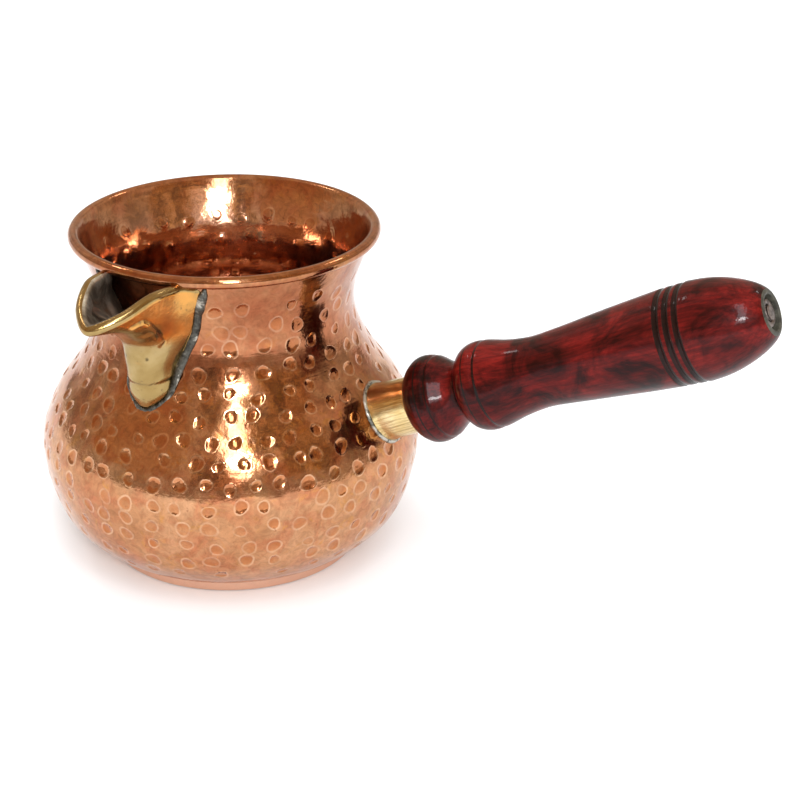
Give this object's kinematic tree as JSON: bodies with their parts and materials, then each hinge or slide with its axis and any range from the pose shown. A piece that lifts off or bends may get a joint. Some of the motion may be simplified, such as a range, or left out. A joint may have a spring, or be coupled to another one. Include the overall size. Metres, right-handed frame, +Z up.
{
  "type": "turkish coffee pot",
  "caption": "Hammered copper coffee pot with a rolled rim, a brass pouring spout on the neck and a turned wooden handle set in a brass ferrule.",
  "frame": {"origin": "centre of the flat base, on the surface the pot stands on", "axes": "+Z up along the pot's axis; +X towards the handle; the spout points about 5 degrees past -Y"},
  "size_m": [0.2076, 0.1166, 0.1001],
  "materials": {
    "hammered_copper": "polished bare copper, hand hammered outside, no tin inside",
    "cast_brass": "polished cast brass with small pits, tarnished dark inside",
    "turned_brass": "polished turned brass with fine scratches",
    "solder": "dull grey soft solder, uneven bead",
    "steel": "dull zinc plated steel",
    "lacquered_wood": "dark cherry red gloss lacquer over turned hardwood, burnt black grooves"
  },
  "bodies": {
    "root": {"pot_body": "hammered_copper", "rim_wire": "steel", "spout": "cast_brass", "spout_solder": "solder", "ferrule": "turned_brass", "ferrule_solder": "solder", "anchor_plug": "turned_brass", "tie_rod": "steel", "handle_grip": "lacquered_wood", "butt_washer": "steel", "butt_nut": "steel"}
  },
  "joints": []
}
